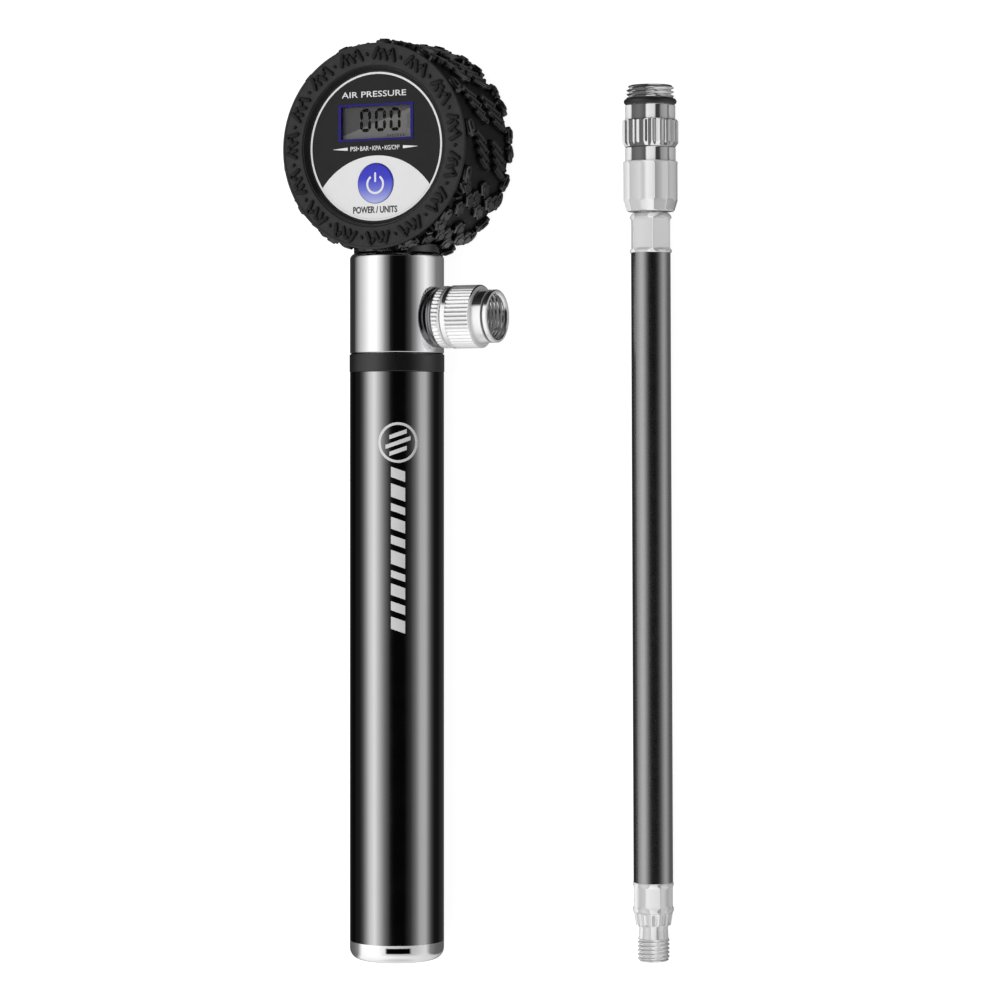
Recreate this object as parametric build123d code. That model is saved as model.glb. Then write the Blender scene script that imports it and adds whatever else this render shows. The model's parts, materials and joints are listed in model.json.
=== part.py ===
from build123d import *
import math
import os

# Mini shock pump with a tyre-clad digital gauge, and its separate screw-on hose. Sizes in mm.
# Frame: the pump lies on its gauge's flat back, at z = 0, with the dial facing +Z. The pump's axis
# runs along Y, the gauge is centred on the origin, the handle lies towards -Y and the port
# points along +X. The hose lies beside the pump, on the same surface, parallel to it.

os.makedirs("parts", exist_ok=True)

# ---- driving dimensions ----
AXIS_Z = 12.1                  # height of the pump's axis above the surface
RUN_FIT = 0.05                 # radial clearance of turning and sliding fits
SEAT_GAP = 0.02                # radial gap of glued, pressed and screwed joints

# gauge, heights above the surface
TREAD_R = 26.9
BEAD_R = 20.3                  # inner edge of the front sidewall
GAUGE_FRONT = 25.2
HOUSING_R = 24.0
HOUSING_BORE_R = 20.9
HOUSING_RIM_Z = 23.25
LEDGE_Z = 22.0                 # ledge that carries the bezel ring
COVER_R = 22.7
COVER_T = 2.4
DOOR_R = 11.0
BATTERY_R = 10.0
BATTERY_T = 3.2
BOARD_Z = 17.5
DIAL_R = 19.3
DIAL_Z = 23.6                  # front of the dial plate
DIAL_T = 0.8
LCD_CENTRE_Y = 6.15
LCD_FRAME_SIZE = (21.4, 9.35)
LCD_GLASS_SIZE = (19.8, 8.2)
LCD_MODULE_SIZE = (23.0, 12.0)
LCD_TOP_Z = 22.5
CARRIER_Z = 19.2               # underside of the display carrier
BUTTON_R = 5.05
FLANGE_R = 5.6                 # button's retaining flange
BUTTON_TOP_Z = 23.9
BUTTON_STEM_Z = 20.8
BUTTON_Y = -9.3
BUTTON_TRAVEL = 0.6
SCREW_CIRCLE_R = 17.5
SCREW_ANGLES = (90, 210, 330)

# head and port
PUMP_R = 12.0
HEAD_TOP_Y = -26.5
HEAD_BOTTOM_Y = -52.0
NECK_R = 6.0
NECK_TOP_Y = -21.0
VALVE_SEAT_Y = -45.5           # the inlet disc's seat
VALVE_END_Y = -38.0            # far end of the valve chamber
PORT_Y = -42.9
PORT_THREAD_R = 5.45           # minor radius of the M12 x 1 socket
PORT_END_X = 28.65
PORT_FLOOR_X = 22.4

# barrel, piston and handle, places along the pump's axis
BARREL_R = 10.0
BARREL_BORE_R = 8.5
BARREL_TOP_Y = -47.2
BARREL_BOTTOM_Y = -194.3
GUIDE_LENGTH = 10.0
ROD_R = 3.0
PISTON_TOP_Y = -55.0
PISTON_LENGTH = 10.0
SLEEVE_TOP_Y = -56.8
SLEEVE_BOTTOM_Y = -201.5
SLEEVE_BORE_R = 10.85
CAP_BOTTOM_Y = -206.2
COLLAR_R = 12.1

# hose, places along the hose's own axis, 0 at HOSE_Y
HOSE_X = 68.2
HOSE_Y = 1.0
HOSE_R = 4.9
HOSE_BORE_R = 2.4
HOSE_TOP = -28.8
HOSE_BOTTOM = -184.8
SWIVEL_R = 6.85
SWIVEL_REST = -15.6            # where the swivel sleeve rests on the surface
FERRULE_R = 5.05
FERRULE_REST = -192.2          # where the far ferrule rests on the surface
GRIP_R = 6.95
GRIP_TOP = 4.1
STEM_R = 3.0

# The hose lies on its thick swivel sleeve and on the far ferrule, so it slopes a little.
HOSE_SLOPE = math.asin((SWIVEL_R - FERRULE_R) / (SWIVEL_REST - FERRULE_REST))
HOSE_Z = SWIVEL_R - SWIVEL_REST * math.sin(HOSE_SLOPE)

PUMP = Location((0, 0, AXIS_Z), (-90, 0, 0))
PORT = Location((0, PORT_Y, AXIS_Z), (0, 90, 0))
HOSE = Location((HOSE_X, HOSE_Y, HOSE_Z), (-90 + math.degrees(HOSE_SLOPE), 0, 0))


def turned(*corners):
    """Solid turned about the local Z axis from an outline of (radius, height) corners."""
    outline = Polyline(*[(radius, 0, height) for radius, height in corners], close=True)
    return revolve(make_face(outline), Axis.Z)


def tube(outer, inner, low, high):
    """Plain ring or tube about the local Z axis."""
    return turned((inner, low), (outer, low), (outer, high), (inner, high))


def rod(radius, low, high):
    """Plain round bar about the local Z axis."""
    return turned((0, low), (radius, low), (radius, high), (0, high))


def torus_at(major, minor, height):
    """O-ring about the local Z axis."""
    return Pos(0, 0, height) * Torus(major, minor)


def block(size, centre, low, high):
    """Upright block of a given plan size between two heights."""
    width, depth = size
    x, y = centre
    return Pos(x, y, (low + high) / 2) * Box(width, depth, high - low)


def rounded(solid, size, *circles):
    """Fillet the circular edges given as (radius, height) pairs."""
    def wanted(edge):
        return any(abs(edge.radius - radius) < 0.01 and abs(edge.arc_center.Z - height) < 0.01
                   for radius, height in circles)

    edges = [edge for edge in solid.edges().filter_by(GeomType.CIRCLE) if wanted(edge)]
    return fillet(edges, size)


def save(name, shape):
    export_step(shape, f"parts/{name}.step")


# ---- gauge ----
def tyre_sleeve():
    """Rubber tyre around the housing, hooked over its front rim, with a hole for the neck."""
    edge_r = TREAD_R - 0.9
    tyre = turned(
        (COVER_R + 0.05, 0.6), (25.6, 0.6), (TREAD_R, 2.4), (TREAD_R, 23.4), (edge_r, GAUGE_FRONT),
        (BEAD_R + SEAT_GAP, GAUGE_FRONT), (BEAD_R + SEAT_GAP, HOUSING_RIM_Z + RUN_FIT),
        (HOUSING_R + SEAT_GAP, HOUSING_RIM_Z + RUN_FIT), (HOUSING_R + SEAT_GAP, COVER_T),
        (COVER_R + 0.05, COVER_T))
    tyre = rounded(tyre, 0.4, (edge_r, GAUGE_FRONT), (BEAD_R + SEAT_GAP, GAUGE_FRONT))
    tyre -= PUMP * rod(NECK_R + SEAT_GAP, -TREAD_R - 1, NECK_TOP_Y)
    return tyre - PUMP * rod(PUMP_R + 0.3, -TREAD_R - 1, HEAD_TOP_Y + 0.1)


def gauge_housing():
    """Pot with a thick floor: battery compartment below, electronics above, neck hole at -Y."""
    pot = turned(
        (0, 6.0), (BATTERY_R + 0.4, 6.0), (BATTERY_R + 0.4, COVER_T + SEAT_GAP),
        (HOUSING_R, COVER_T + SEAT_GAP), (HOUSING_R, HOUSING_RIM_Z), (22.2, HOUSING_RIM_Z),
        (22.2, LEDGE_Z), (HOUSING_BORE_R, LEDGE_Z), (HOUSING_BORE_R, 7.6), (0, 7.6))
    pot -= PUMP * rod(NECK_R + SEAT_GAP, -HOUSING_R - 1, NECK_TOP_Y + 3)
    for angle in SCREW_ANGLES:
        pot -= Rot(0, 0, angle) * Pos(SCREW_CIRCLE_R, 0, 0) * rod(1.1 + SEAT_GAP, 0, 6.6)
    return pot


def back_cover():
    """Flat back cover with counterbored screw holes and the battery door's opening."""
    cover = tube(COVER_R, DOOR_R + RUN_FIT, 0, COVER_T)
    cover = rounded(cover, 0.5, (COVER_R, 0))
    for angle in SCREW_ANGLES:
        hole = rod(2.3, -0.1, 1.6) + rod(1.1 + SEAT_GAP, 1.5, COVER_T + 0.1)
        cover -= Rot(0, 0, angle) * Pos(SCREW_CIRCLE_R, 0, 0) * hole
    return cover


def back_cover_screws():
    """Three cross-slotted screws, their heads just below the cover's face."""
    screw = rod(2.2, 0.3, 1.6) + rod(1.1, 1.6, 6.4)
    screw -= block((2.6, 0.5), (0, 0), 0.2, 0.9) + block((0.5, 2.6), (0, 0), 0.2, 0.9)
    places = [Rot(0, 0, angle) * Pos(SCREW_CIRCLE_R, 0, 0) for angle in SCREW_ANGLES]
    return Compound(children=[place * screw for place in places])


def battery_door():
    """Quarter-turn door, flush with the back, with two blind key slots beside its centre."""
    door = turned((0, 0), (DOOR_R, 0), (DOOR_R, 1.6), (9.0, 1.6), (9.0, 2.2), (0, 2.2))
    for side in (-1, 1):
        door -= block((4.6, 1.6), (side * 7.0, 0), -0.1, 0.9)
    return door


def battery():
    """Coin cell."""
    low = COVER_T + SEAT_GAP
    return rounded(rod(BATTERY_R, low, low + BATTERY_T), 0.4, (BATTERY_R, low))


def battery_contact():
    """Thin round contact above the cell."""
    return tube(6.0, 2.0, 5.7, 5.95)


def circuit_board():
    return rounded(rod(20.7, BOARD_Z, BOARD_Z + 1.2), 0.2, (20.7, BOARD_Z))


def pressure_sensor():
    """Round sensor capsule against the end of the neck."""
    return PUMP * turned((0, -20.7), (4.3, -20.7), (4.3, -15.5), (3.4, -15.5), (3.4, -14.4), (0, -14.4))


def sensor_seal():
    """O-ring in the neck's end groove."""
    return PUMP * torus_at(2.6, 0.45, -21.35)


def lcd_backlight():
    return block(LCD_MODULE_SIZE, (0, LCD_CENTRE_Y), CARRIER_Z, CARRIER_Z + 1.2)


def lcd_module():
    return block(LCD_MODULE_SIZE, (0, LCD_CENTRE_Y), CARRIER_Z + 1.3, LCD_TOP_Z)


def display_carrier():
    """Plastic disc that holds the display and the button under the dial."""
    pocket = tuple(side + 0.2 for side in LCD_MODULE_SIZE)
    carrier = rod(DIAL_R, CARRIER_Z, DIAL_Z - DIAL_T)
    carrier -= block(pocket, (0, LCD_CENTRE_Y), CARRIER_Z - 1, DIAL_Z)
    return carrier - Pos(0, BUTTON_Y, 0) * rod(FLANGE_R + 0.2, CARRIER_Z - 1, DIAL_Z)


def dial_plate():
    """Printed dial with a window for the display and a hole for the button."""
    low = DIAL_Z - DIAL_T
    plate = rod(DIAL_R, low, DIAL_Z)
    plate -= block(LCD_FRAME_SIZE, (0, LCD_CENTRE_Y), low - 1, DIAL_Z + 1)
    return plate - Pos(0, BUTTON_Y, 0) * rod(BUTTON_R + RUN_FIT, low - 1, DIAL_Z + 1)


def lcd_frame():
    """Blue frame set into the dial's window."""
    outer = tuple(side - 2 * SEAT_GAP for side in LCD_FRAME_SIZE)
    low = DIAL_Z - DIAL_T
    frame = block(outer, (0, LCD_CENTRE_Y), low, DIAL_Z + 0.15)
    return frame - block(LCD_GLASS_SIZE, (0, LCD_CENTRE_Y), low - 1, DIAL_Z + 1)


def lcd_glass():
    """Clear window inside the blue frame."""
    size = tuple(side - 2 * SEAT_GAP for side in LCD_GLASS_SIZE)
    return block(size, (0, LCD_CENTRE_Y), LCD_TOP_Z + 0.05, DIAL_Z - 0.1)


def bezel_ring():
    """Sloping ring between the dial and the tyre's bead, clamped by its flange."""
    return turned(
        (DIAL_R + SEAT_GAP, LEDGE_Z + 0.05), (22.15, LEDGE_Z + 0.05), (22.15, HOUSING_RIM_Z - 0.05),
        (BEAD_R - SEAT_GAP, HOUSING_RIM_Z - 0.05), (BEAD_R - SEAT_GAP, GAUGE_FRONT - 0.3),
        (BEAD_R - 0.25, GAUGE_FRONT - 0.3), (DIAL_R + SEAT_GAP, DIAL_Z))


def power_button():
    """Round cap with a retaining flange under the dial and a stem above the switch."""
    flange_top = DIAL_Z - DIAL_T - 0.1
    button = turned(
        (0, BUTTON_STEM_Z), (1.5, BUTTON_STEM_Z), (1.5, flange_top - 0.8), (FLANGE_R, flange_top - 0.8),
        (FLANGE_R, flange_top), (BUTTON_R, flange_top), (BUTTON_R, BUTTON_TOP_Z), (0, BUTTON_TOP_Z))
    return Pos(0, BUTTON_Y, 0) * rounded(button, 0.35, (BUTTON_R, BUTTON_TOP_Z))


def tact_switch():
    """Board switch; the stem stops on its plunger when the button is pressed."""
    body_top = 19.5
    body = block((6.0, 6.0), (0, BUTTON_Y), BOARD_Z + 1.2, body_top)
    return body + Pos(0, BUTTON_Y, 0) * rod(1.4, body_top, BUTTON_STEM_Z - BUTTON_TRAVEL - 0.1)


# ---- head and port ----
def pump_head():
    """Round head: barrel socket below, valve chamber, side port bore and the neck on top."""
    head = rod(PUMP_R, HEAD_BOTTOM_Y, HEAD_TOP_Y)
    head = rounded(head, 1.5, (PUMP_R, HEAD_TOP_Y))
    head = rounded(head, 0.4, (PUMP_R, HEAD_BOTTOM_Y))
    head += rod(NECK_R, HEAD_TOP_Y, NECK_TOP_Y)
    head -= rod(BARREL_R + SEAT_GAP, HEAD_BOTTOM_Y - 1, BARREL_TOP_Y + 0.1)
    head -= rod(1.2, HEAD_BOTTOM_Y, VALVE_SEAT_Y + 0.1)
    head -= rod(3.2, VALVE_SEAT_Y, VALVE_END_Y)
    head -= rod(1.5, VALVE_END_Y - 0.1, NECK_TOP_Y + 1)
    head -= tube(3.15, 2.1, NECK_TOP_Y - 0.85, NECK_TOP_Y + 1)
    head = PUMP * head
    return head - PORT * rod(4.0 + SEAT_GAP, 6.0, PUMP_R + 1) - PORT * rod(1.5, 0, 7)


def check_valve_poppet():
    """Small disc that lifts off the inlet hole, with a stem that centres its spring."""
    low = VALVE_SEAT_Y + 0.05
    return PUMP * turned(
        (0, low), (2.7, low), (2.7, low + 1.15), (0.9, low + 1.15), (0.9, low + 2.55), (0, low + 2.55))


def check_valve_spring():
    """Light coil spring between the poppet and the end of the valve chamber."""
    wire_r = 0.22
    low = VALVE_SEAT_Y + 1.22 + wire_r
    high = VALVE_END_Y - 0.02 - wire_r
    coil = Helix(pitch=(high - low) / 5, height=high - low, radius=2.2)
    start = Plane(origin=coil @ 0, z_dir=coil % 0)
    return PUMP * Pos(0, 0, low) * sweep(start * Circle(wire_r), path=coil)


def port_base_washer():
    """Domed washer, saddle-cut to sit on the round head."""
    washer = turned((4.05, 8.0), (7.7, 8.0), (7.7, 12.4), (7.2, 13.4), (4.05, 13.4))
    washer = PORT * rounded(washer, 0.3, (7.7, 12.4))
    return washer - PUMP * rod(PUMP_R + SEAT_GAP, -70, 0)


def port_lock_ring():
    """Narrow knurled ring behind the adapter."""
    return PORT * turned((4.05, 13.4), (7.7, 13.4), (7.9, 13.6), (7.9, 15.3), (7.7, 15.5), (4.05, 15.5))


def port_spigot():
    """Hollow spigot screwed into the head, on which the adapter turns."""
    return PORT * turned(
        (1.5, 6.1), (4.0, 6.1), (4.0, 15.5), (6.6, 15.5), (6.6, 15.75), (6.0, 15.75),
        (6.0, 20.2), (1.5, 20.2))


def port_seal_washer():
    """Flat seal between the spigot's end and the adapter's web."""
    return PORT * tube(5.8, 2.0, 20.3, 21.2)


def port_adapter():
    """Knurled sleeve with the threaded socket for the hose in its nose."""
    shoulder_r = 8.0
    nose_r = 6.7
    adapter = turned(
        (6.0 + RUN_FIT, 15.8), (7.5, 15.8), (shoulder_r, 16.3), (shoulder_r, 24.0), (7.8, 24.25),
        (nose_r, 24.25), (nose_r, PORT_END_X), (PORT_THREAD_R + 0.5, PORT_END_X),
        (PORT_THREAD_R, PORT_END_X - 0.6), (PORT_THREAD_R, PORT_FLOOR_X),
        (2.0, PORT_FLOOR_X), (2.0, 21.25), (6.0 + RUN_FIT, 21.25))
    adapter = rounded(adapter, 0.3, (nose_r, PORT_END_X))
    return PORT * adapter


# ---- barrel and piston ----
def barrel():
    return PUMP * tube(BARREL_R, BARREL_BORE_R, BARREL_BOTTOM_Y, BARREL_TOP_Y)


def barrel_guide():
    """Bush in the barrel's open end that guides the rod."""
    top = BARREL_BOTTOM_Y + GUIDE_LENGTH
    return PUMP * tube(BARREL_BORE_R - SEAT_GAP, ROD_R + RUN_FIT, BARREL_BOTTOM_Y, top)


def piston():
    """Piston with its seal groove; the rod's end turns in its bore."""
    top = PISTON_TOP_Y
    low = top - PISTON_LENGTH
    skirt_r = BARREL_BORE_R - 0.08
    middle = (top + low) / 2
    return PUMP * turned(
        (2.5 + RUN_FIT, low), (skirt_r, low), (skirt_r, middle - 1.2), (7.0, middle - 1.2),
        (7.0, middle + 1.2), (skirt_r, middle + 1.2), (skirt_r, top), (2.5 + RUN_FIT, top))


def piston_seal():
    return PUMP * torus_at(7.74, 0.72, PISTON_TOP_Y - PISTON_LENGTH / 2)


def piston_bumper():
    """Rubber ring under the piston that meets the guide at full stroke."""
    top = PISTON_TOP_Y - PISTON_LENGTH - 0.05
    return PUMP * tube(7.4, ROD_R + RUN_FIT, top - 2.8, top)


# ---- handle ----
def handle_sleeve():
    """Outer handle tube."""
    return PUMP * tube(PUMP_R, SLEEVE_BORE_R, SLEEVE_BOTTOM_Y, SLEEVE_TOP_Y)


def handle_collar():
    """Matte bush on the handle's end that runs on the barrel, with a skirt inside the sleeve."""
    top = HEAD_BOTTOM_Y - 0.1
    collar = turned(
        (BARREL_R + RUN_FIT, SLEEVE_TOP_Y - 8), (SLEEVE_BORE_R - SEAT_GAP, SLEEVE_TOP_Y - 8),
        (SLEEVE_BORE_R - SEAT_GAP, SLEEVE_TOP_Y), (COLLAR_R, SLEEVE_TOP_Y), (COLLAR_R, top),
        (BARREL_R + RUN_FIT, top))
    return PUMP * rounded(collar, 0.35, (COLLAR_R, SLEEVE_TOP_Y), (COLLAR_R, top))


def end_cap():
    """Cap with a rounded end, a spigot inside the sleeve and a socket for the rod."""
    spigot_r = SLEEVE_BORE_R - SEAT_GAP
    cap = turned(
        (0, CAP_BOTTOM_Y), (PUMP_R, CAP_BOTTOM_Y), (PUMP_R, SLEEVE_BOTTOM_Y), (spigot_r, SLEEVE_BOTTOM_Y),
        (spigot_r, SLEEVE_BOTTOM_Y + 4.5), (0, SLEEVE_BOTTOM_Y + 4.5))
    cap = rounded(cap, 2.8, (PUMP_R, CAP_BOTTOM_Y))
    return PUMP * (cap - rod(ROD_R + SEAT_GAP, SLEEVE_BOTTOM_Y - 1, SLEEVE_BOTTOM_Y + 5))


def piston_rod():
    """Rod from the cap to the piston, stepped down where the piston turns on it."""
    step = PISTON_TOP_Y - PISTON_LENGTH - 0.1
    return PUMP * turned(
        (0, SLEEVE_BOTTOM_Y - 0.9), (ROD_R, SLEEVE_BOTTOM_Y - 0.9), (ROD_R, step), (2.5, step),
        (2.5, PISTON_TOP_Y + 1.5), (0, PISTON_TOP_Y + 1.5))


def rod_lock_nut():
    """Hexagon nut that locks the rod in the cap."""
    low = SLEEVE_BOTTOM_Y + 4.6
    nut = Pos(0, 0, low) * extrude(RegularPolygon(5.2, 6), 2.2)
    return PUMP * (nut - rod(ROD_R + SEAT_GAP, low - 1, low + 4))


def piston_retainer():
    """Clip on the rod's end above the piston."""
    return PUMP * tube(4.2, 2.5 + SEAT_GAP, PISTON_TOP_Y + 0.1, PISTON_TOP_Y + 0.9)


# ---- hose ----
def hose_port_fitting():
    """Threaded end for the pump's port, its collar, and the core inside the grip ring."""
    return HOSE * turned(
        (1.5, 12.6), (5.4, 12.6), (5.9, 12.1), (5.9, 9.5), (5.0, 9.5), (5.0, 7.7),
        (6.2, 7.7), (6.2, GRIP_TOP), (4.6, GRIP_TOP), (4.6, -5.6), (1.5, -5.6))


def hose_port_oring():
    return HOSE * torus_at(5.78, 0.76, 8.6)


def hose_grip_ring():
    """Fluted ring turned by the fingers."""
    return HOSE * turned(
        (4.6 + SEAT_GAP, -2.7), (GRIP_R - 0.7, -2.7), (GRIP_R, -1.7), (GRIP_R, GRIP_TOP - 0.4),
        (GRIP_R - 0.4, GRIP_TOP), (4.6 + SEAT_GAP, GRIP_TOP))


def hose_swivel_sleeve():
    """Long sleeve around the stem's head, with a plain band above its flutes."""
    return HOSE * turned(
        (4.6 + SEAT_GAP, -2.75), (6.25, -2.75), (6.25, -6.2), (SWIVEL_R, -6.2),
        (SWIVEL_R, SWIVEL_REST), (5.7, -18.6), (STEM_R + RUN_FIT, -18.6), (STEM_R + RUN_FIT, -15.0),
        (4.6 + SEAT_GAP, -15.0))


def hose_stem():
    """Nipple whose head turns inside the sleeve and whose tail holds the hose."""
    return HOSE * turned(
        (1.0, -11.0), (2.2, -11.0), (2.2, -12.0), (4.3, -12.0), (4.3, -14.9), (STEM_R, -14.9),
        (STEM_R, HOSE_TOP), (HOSE_BORE_R - SEAT_GAP, HOSE_TOP), (HOSE_BORE_R - SEAT_GAP, -40.0),
        (1.0, -40.0))


def hose_port_ferrule():
    """Crimped ferrule below the swivel sleeve."""
    return HOSE * turned(
        (STEM_R + SEAT_GAP, HOSE_TOP), (5.25, HOSE_TOP), (5.25, -19.6), (4.6, -18.9),
        (STEM_R + SEAT_GAP, -18.9))


def hose_tube():
    """Straight rubber hose between the two ferrules' faces."""
    return HOSE * tube(HOSE_R, HOSE_BORE_R, HOSE_BOTTOM, HOSE_TOP)


def hose_valve_ferrule():
    """Crimped ferrule at the far end."""
    return HOSE * tube(FERRULE_R, STEM_R + SEAT_GAP, FERRULE_REST, HOSE_BOTTOM)


def hose_valve_fitting():
    """Far end: tail inside the hose, tapered shoulder, neck and threaded end."""
    return HOSE * turned(
        (1.0, -175.0), (HOSE_BORE_R - SEAT_GAP, -175.0), (HOSE_BORE_R - SEAT_GAP, HOSE_BOTTOM),
        (STEM_R, HOSE_BOTTOM), (STEM_R, FERRULE_REST), (4.85, FERRULE_REST), (4.3, -195.4),
        (3.7, -195.4), (3.7, -198.7), (3.95, -198.7), (3.95, -203.9), (3.45, -204.4), (1.0, -204.4))


PARTS = [
    tyre_sleeve, gauge_housing, back_cover, back_cover_screws, battery_door, battery,
    battery_contact, circuit_board, pressure_sensor, sensor_seal, lcd_backlight, lcd_module,
    display_carrier, dial_plate, lcd_frame, lcd_glass, bezel_ring, power_button, tact_switch,
    pump_head, check_valve_poppet, check_valve_spring, port_base_washer, port_lock_ring,
    port_spigot, port_seal_washer, port_adapter, barrel, barrel_guide, piston, piston_seal,
    piston_bumper, handle_sleeve, handle_collar, end_cap, piston_rod, rod_lock_nut,
    piston_retainer, hose_port_fitting, hose_port_oring, hose_grip_ring, hose_swivel_sleeve,
    hose_stem, hose_port_ferrule, hose_tube, hose_valve_ferrule, hose_valve_fitting,
]

for make in PARTS:
    save(make.__name__, make())

hose_section = math.pi * (HOSE_R**2 - HOSE_BORE_R**2)
print("hose tube volume / (section x length):", hose_tube().volume / (hose_section * (HOSE_TOP - HOSE_BOTTOM)))
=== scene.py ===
import json
import math
import random

import bmesh
import bpy
from mathutils import Matrix, Vector


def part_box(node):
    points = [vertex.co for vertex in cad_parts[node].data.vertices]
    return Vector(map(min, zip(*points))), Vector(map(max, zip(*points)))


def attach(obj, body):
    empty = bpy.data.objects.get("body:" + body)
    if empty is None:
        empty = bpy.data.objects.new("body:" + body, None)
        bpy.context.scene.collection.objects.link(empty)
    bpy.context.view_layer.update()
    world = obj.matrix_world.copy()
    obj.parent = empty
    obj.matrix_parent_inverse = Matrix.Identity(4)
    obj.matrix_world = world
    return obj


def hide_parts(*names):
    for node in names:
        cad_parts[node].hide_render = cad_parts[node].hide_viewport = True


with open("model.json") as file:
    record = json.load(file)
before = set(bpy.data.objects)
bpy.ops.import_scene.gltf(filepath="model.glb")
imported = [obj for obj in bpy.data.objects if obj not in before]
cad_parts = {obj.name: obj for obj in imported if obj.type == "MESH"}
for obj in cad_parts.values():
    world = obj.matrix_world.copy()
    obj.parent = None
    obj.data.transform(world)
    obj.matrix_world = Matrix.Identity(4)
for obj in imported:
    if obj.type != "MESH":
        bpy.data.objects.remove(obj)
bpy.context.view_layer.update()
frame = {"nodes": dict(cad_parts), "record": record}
NODES = frame["nodes"]
MOUNTS = {mount["name"]: mount for mount in frame["record"]["mounts"]}
MM = 0.001
TAU = 2 * math.pi


# ---- places taken from the frame, in millimetres ----
def corner(node, side, axis):
    """One coordinate of a node's box: side 0 is low and 1 is high; axis is 0, 1 or 2."""
    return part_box(node)[side][axis] / MM


AXIS_Z = MOUNTS["port_socket"]["pos_m"][2] / MM
PORT_Y = MOUNTS["port_socket"]["pos_m"][1] / MM
PORT_END = corner("port_adapter", 1, 0)
PUMP_R = (corner("handle_sleeve", 1, 0) - corner("handle_sleeve", 0, 0)) / 2
TREAD_R = corner("tyre_sleeve", 1, 0)
HEAD_RISE = 8.7                # from the top of the port's washer to the head's upper end
HEAD_TOP = corner("port_base_washer", 1, 1) + HEAD_RISE
NECK_R = 6.05                  # neck of the head inside the tyre
FRONT_Z = corner("tyre_sleeve", 1, 2)
DIAL_Z = corner("dial_plate", 1, 2)
LCD_Z = corner("lcd_module", 1, 2)
BUTTON_TOP = corner("power_button", 1, 2)
BUTTON_Y = (corner("power_button", 0, 1) + corner("power_button", 1, 1)) / 2
LCD_Y = (corner("lcd_glass", 0, 1) + corner("lcd_glass", 1, 1)) / 2
HOSE_AXIS = Vector(MOUNTS["hose_port_thread"]["axis"])
THREAD_MOUNT = 10.8            # place of the port thread's mount along the hose
HOSE_ORIGIN = Vector(MOUNTS["hose_port_thread"]["pos_m"]) / MM - THREAD_MOUNT * HOSE_AXIS


def axes(origin, z_axis, x_axis):
    """Placing matrix, in mm, whose local Z and X lie along the given directions."""
    z = Vector(z_axis).normalized()
    x = Vector(x_axis).normalized()
    y = z.cross(x)
    placed = Matrix((x, y, z)).transposed().to_4x4()
    placed.translation = Vector(origin)
    return placed


GAUGE = axes((0, 0, 0), (0, 0, 1), (1, 0, 0))
PUMP = axes((0, 0, AXIS_Z), (0, 1, 0), (0, 0, 1))        # local angle 0 faces up
PORT = axes((0, PORT_Y, AXIS_Z), (1, 0, 0), (0, 0, 1))
HOSE = axes(HOSE_ORIGIN, HOSE_AXIS, (1, 0, 0))


def new_object(name, data):
    made = bpy.data.objects.new(name, data)
    bpy.context.collection.objects.link(made)
    return made


# ---- camera: above the gauge, leaning 26 degrees towards the port's side ----
VIEW_TILT = math.radians(26.0)           # optical axis from the vertical, about the pump's axis
CAMERA_DISTANCE = 0.854
CAMERA_ASIDE = 0.02642
CAMERA_Y = -0.0796
LENS = 120.3


def make_camera():
    back = Vector((math.sin(VIEW_TILT), 0, math.cos(VIEW_TILT)))
    right = Vector((math.cos(VIEW_TILT), 0, -math.sin(VIEW_TILT)))
    up = Vector((0, 1, 0))
    data = bpy.data.cameras.new("camera")
    data.sensor_width = 36
    data.lens = LENS
    data.shift_y = -0.0385
    camera = new_object("camera", data)
    camera.matrix_world = Matrix((right, up, back)).transposed().to_4x4()
    start = Vector((0, CAMERA_Y, AXIS_Z * MM))
    camera.location = start + back * CAMERA_DISTANCE + right * CAMERA_ASIDE
    bpy.context.scene.camera = camera


make_camera()


# ---- materials ----
ALONG_PUMP = (1, 0.08, 1)      # stretch of a texture's features along the pump
AROUND_PUMP = (0.12, 1, 0.12)
PLAIN = (1, 1, 1)


def put(owner, socket, value):
    """Links a source to a socket, or sets the socket's value."""
    if isinstance(value, bpy.types.NodeSocket):
        owner.node_tree.links.new(value, socket)
    else:
        socket.default_value = (*value, 1) if socket.type == "RGBA" else value


def fill(owner, target, **values):
    """Sets a node's properties or, by name with _ for spaces, its inputs."""
    for key, value in values.items():
        if hasattr(target, key):
            setattr(target, key, value)
        else:
            put(owner, target.inputs[key.replace("_", " ")], value)


def node(owner, kind, **values):
    """Adds a node to a material or a world and fills it in."""
    made = owner.node_tree.nodes.new(kind)
    fill(owner, made, **values)
    return made


def principled(name, **values):
    """New material and its shader, filled in."""
    material = bpy.data.materials.new(name)
    material.use_nodes = True
    shader = material.node_tree.nodes["Principled BSDF"]
    fill(material, shader, **values)
    return material, shader


def calculated(owner, operation, *values):
    """Result of one operation on numbers or sockets."""
    made = node(owner, "ShaderNodeMath", operation=operation)
    for socket, value in zip(made.inputs, values):
        put(owner, socket, value)
    return made.outputs["Value"]


def spread(owner, value, low, high, to_low=0.0, to_high=1.0):
    """Maps the range low to high onto another, held at its ends."""
    mapped = node(owner, "ShaderNodeMapRange", Value=value, From_Min=low, From_Max=high,
                  To_Min=to_low, To_Max=to_high)
    return mapped.outputs["Result"]


def parts_of(owner, vector):
    """X, Y and Z of a vector, as sockets."""
    return node(owner, "ShaderNodeSeparateXYZ", Vector=vector).outputs


def object_coordinates(material, scale=PLAIN):
    """Object coordinates in metres, stretched by scale."""
    where = node(material, "ShaderNodeTexCoord").outputs["Object"]
    return node(material, "ShaderNodeMapping", Scale=scale, Vector=where).outputs["Vector"]


def along_y(material, low_mm, high_mm):
    """0 at one Y and 1 at another."""
    return spread(material, parts_of(material, object_coordinates(material))["Y"], low_mm * MM, high_mm * MM)


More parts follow.
